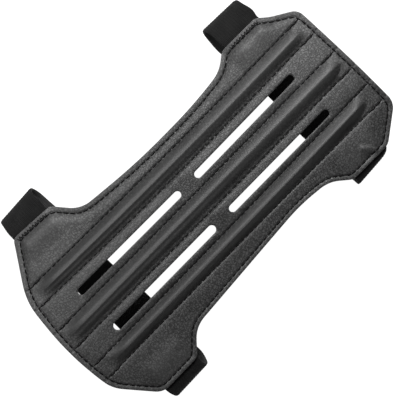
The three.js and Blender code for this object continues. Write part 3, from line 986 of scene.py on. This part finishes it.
def strap_line(strap):
    """Centre line of a whole strap at even steps, as in half_line, with the distance along it."""
    left, right = half_line(strap["left"], -1), half_line(strap["right"], 1)[::-1]
    x = np.linspace(left[-1, 0], right[0, 0], RUN_STEPS)[1:-1]
    places = [(left[-1, 0], left[-1, 1])] + strap["run"] + [(right[0, 0], right[0, 1])]
    y = np.empty_like(x)
    for (x0, y0), (x1, y1) in zip(places[:-1], places[1:]):
        here = (x >= x0) & (x <= x1)
        y[here] = y0 + (y1 - y0) * smooth((x[here] - x0) / (x1 - x0))
    run = np.column_stack((x, y, np.full_like(x, left[-1, 2]), np.zeros((len(x), 3))))
    line = np.vstack((left, run, right))
    along = np.concatenate(([0.0], np.cumsum(np.linalg.norm(np.diff(line[:, :3], axis=0), axis=1))))
    at = np.linspace(0.0, along[-1], int(along[-1] / STRAP_STEP))
    return np.column_stack([np.interp(at, along, line[:, k]) for k in range(line.shape[1])]), at


def strap_thickness(across, at):
    """Half thickness of the webbing: rounded selvedges, lengthwise cords and the picks that cross them."""
    edge = np.clip((STRAP_WIDTH / 2 - np.abs(across)) / SELVEDGE, 0.0, 1.0)
    body = STRAP_THICKNESS / 2 * np.sqrt(np.clip(edge * (2 - edge), SELVEDGE_LEAST, 1.0))
    cord = across / CORD_PITCH
    odd = np.cos(math.pi * np.floor(cord + 0.5))
    relief = CORD_RELIEF * np.cos(math.pi * cord) ** 2
    relief = relief + PICK_RELIEF * (0.5 + 0.5 * odd * np.cos(2 * math.pi * at / PICK_PITCH))
    return body - CORD_RELIEF - PICK_RELIEF + relief


def make_strap(name, strap, materials):
    """Webbing of one strap, and its length."""
    line, at = strap_line(strap)
    splay, corner, bulge = (line[:, k, None] for k in (3, 4, 5))
    slope = np.gradient(line[:, :3], axis=0)
    normal = np.column_stack((-slope[:, 2], slope[:, 0]))
    normal /= np.linalg.norm(normal, axis=1, keepdims=True)
    across = np.linspace(-STRAP_WIDTH / 2, STRAP_WIDTH / 2, ACROSS_STEPS)
    section = np.concatenate((across, across[::-1]))
    face = np.concatenate((np.ones(ACROSS_STEPS), -np.ones(ACROSS_STEPS)))
    ring = len(section)
    waver = 0.12 * np.sin(at / 3.1) + 0.08 * np.sin(at / 1.7 + 1.0)
    sewn = smooth((np.minimum(at, at[-1] - at) - STRAP_TAIL) / TAIL_SWELL)
    flat = STRAP_TAIL_THICKNESS / STRAP_THICKNESS
    swell = (flat + (1 - flat) * sewn)[:, None]
    thick = face[None, :] * strap_thickness(section[None, :], at[:, None]) * swell
    points = np.empty((len(line), ring, 3))
    edge_share = section / (STRAP_WIDTH / 2)
    upper_edge = edge_share.clip(0.0)
    points[:, :, 0] = line[:, 0, None] + normal[:, 0, None] * thick - splay * edge_share
    points[:, :, 0] -= corner * upper_edge ** 6
    points[:, :, 1] = line[:, 1, None] + section + waver[:, None] * edge_share ** 9
    points[:, :, 1] += bulge * upper_edge ** 2
    points[:, :, 2] = line[:, 2, None] + normal[:, 1, None] * thick
    faces = []
    for i in range(len(line) - 1):
        here = i * ring + np.arange(ring)
        after = i * ring + np.roll(np.arange(ring), -1)
        faces += np.column_stack((here, here + ring, after + ring, after)).tolist()
    last = (len(line) - 1) * ring
    faces.append(list(range(ring)))
    faces.append([last + k for k in reversed(range(ring))])
    # The inner faces take slot 1, the paler copy of the elastic, whose paleness is painted light
    slots = np.append(np.tile(np.where(face > 0, 1, 0), len(line) - 1), (0, 0))
    strap_object = new_object(name + "_webbing", points.reshape(-1, 3), faces, materials, slots)
    add_strap_uv(strap_object, at, section)
    return strap_object, at[-1]


def add_strap_uv(obj, at, section):
    """UV in metres: along the strap and across it."""
    mesh = obj.data
    vertex = np.empty(len(mesh.loops), dtype=np.int32)
    mesh.loops.foreach_get("vertex_index", vertex)
    uv = np.column_stack((at[vertex // len(section)], section[vertex % len(section)])) * MM
    mesh.uv_layers.new(name="webbing").data.foreach_set("uv", uv.astype(np.float32).ravel())


# Making the pieces

face_leather = leather_material("face_leather", greys=(0.0, 0.027), roughness=(0.62, 0.55),
                                grain_cells=760.0, grain_depth=0.10)
back_leather = leather_material("back_leather", greys=(0.012, 0.022), roughness=(0.75, 0.65),
                                grain_cells=1500.0, grain_depth=0.10)
cut_edge = cut_edge_material()
thread = thread_material()
# The copy for the webbing's inner face is paler: painted light on the loops' return layers beside the ears
elastic = [
    elastic_material("woven_elastic", (0.001, 0.009)),
    elastic_material("elastic_inside_painted_light", (0.015, 0.035)),
]

front = make_front([face_leather, cut_edge])
back = make_back([back_leather, cut_edge])
sewn_paths = [path for row in SEWN_ROWS for path in row_holes(row)]
tacks = [tack_holes(strap) for strap in STRAPS.values()]
pieces = {
    "face_leather": [
        front,
        stitch_mesh("rib_stitching", sewn_paths, front_height, 1.0, thread),
        stitch_mesh("edge_stitching", edge_holes() + tacks, front_height, 1.0, thread),
    ],
    "back_leather": [
        back,
        stitch_mesh("back_stitching", sewn_paths + edge_holes(), back_height, -1.0, thread),
    ],
    "elastic": [],
}
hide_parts("front_panel")
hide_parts("back_panel")

for strap_name, strap in STRAPS.items():
    webbing, length = make_strap(strap_name, strap, elastic)
    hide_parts(strap_name)
    pieces["elastic"].append(webbing)

for slot_name, objects in pieces.items():
    for obj in objects:
        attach(obj, "root")


# Floor, camera and light

def make_floor():
    """White surface that glows under the guard and dims far from it."""
    mesh = bpy.data.meshes.new("floor")
    turns = ((-1, -1), (1, -1), (1, 1), (-1, 1))
    mesh.from_pydata([(FLOOR_HALF * i, FLOOR_HALF * j, FLOOR_LEVEL) for i, j in turns], [], [(0, 1, 2, 3)])
    material, tree, shader = new_material("white_floor")
    place = add_node(tree, "ShaderNodeTexCoord").outputs["Object"]
    away = add_node(tree, "ShaderNodeVectorMath", {"operation": "LENGTH"})
    tree.links.new(place, away.inputs[0])
    glow = map_range(tree, away.outputs["Value"], GLOW_FROM_TO, GLOW_STRENGTH, "SMOOTHSTEP")
    tree.links.new(glow, shader.inputs["Emission Strength"])
    shader.inputs["Emission Color"].default_value = (1.0, 1.0, 1.0, 1.0)
    shader.inputs["Base Color"].default_value = (0.1, 0.1, 0.1, 1.0)
    shader.inputs["Roughness"].default_value = 0.9
    mesh.materials.append(material)
    floor = placed("floor", mesh)


def make_camera():
    panel_top = CROWN_HEIGHT + GAP + FRONT_THICKNESS
    data = bpy.data.cameras.new("camera")
    data.sensor_width = SENSOR_WIDTH
    data.lens = SENSOR_WIDTH * CAMERA_ABOVE_PANEL / FRAME_WIDTH_AT_PANEL
    camera = placed("camera", data)
    camera.location = to_frame((*IMAGE_CENTRE, panel_top + CAMERA_ABOVE_PANEL))
    camera.rotation_euler = (0.0, 0.0, CAMERA_ROLL)
    bpy.context.scene.camera = camera


def add_light(name, place, size, power):
    """Area light that faces the guard: place and size in metres, power in watts."""
    data = bpy.data.lights.new(name, "AREA")
    data.shape = "RECTANGLE"
    data.size, data.size_y = size
    data.energy = power
    light = placed(name, data)
    light.location = place
    light.rotation_euler = (-Vector(place)).to_track_quat("-Z", "Y").to_euler()


def make_light():
    world = bpy.data.worlds.new("studio")
    world.use_nodes = True
    background = world.node_tree.nodes["Background"]
    background.inputs["Color"].default_value = (1.0, 1.0, 1.0, 1.0)
    background.inputs["Strength"].default_value = 0.05
    bpy.context.scene.world = world
    add_light("key_upper", (-0.36, 0.34, 0.62), (0.32, 0.32), 11.5)
    add_light("key_lower", (-0.46, -0.42, 0.80), (0.40, 0.40), 5.0)
    add_light("left_wall", (-0.85, 0.4, 0.50), (0.8, 0.9), 3.0)
    add_light("right_fill", (0.50, 0.0, 0.80), (0.5, 0.8), 1.5)


make_floor()
make_camera()
make_light()
bpy.context.scene.view_settings.view_transform = "Standard"
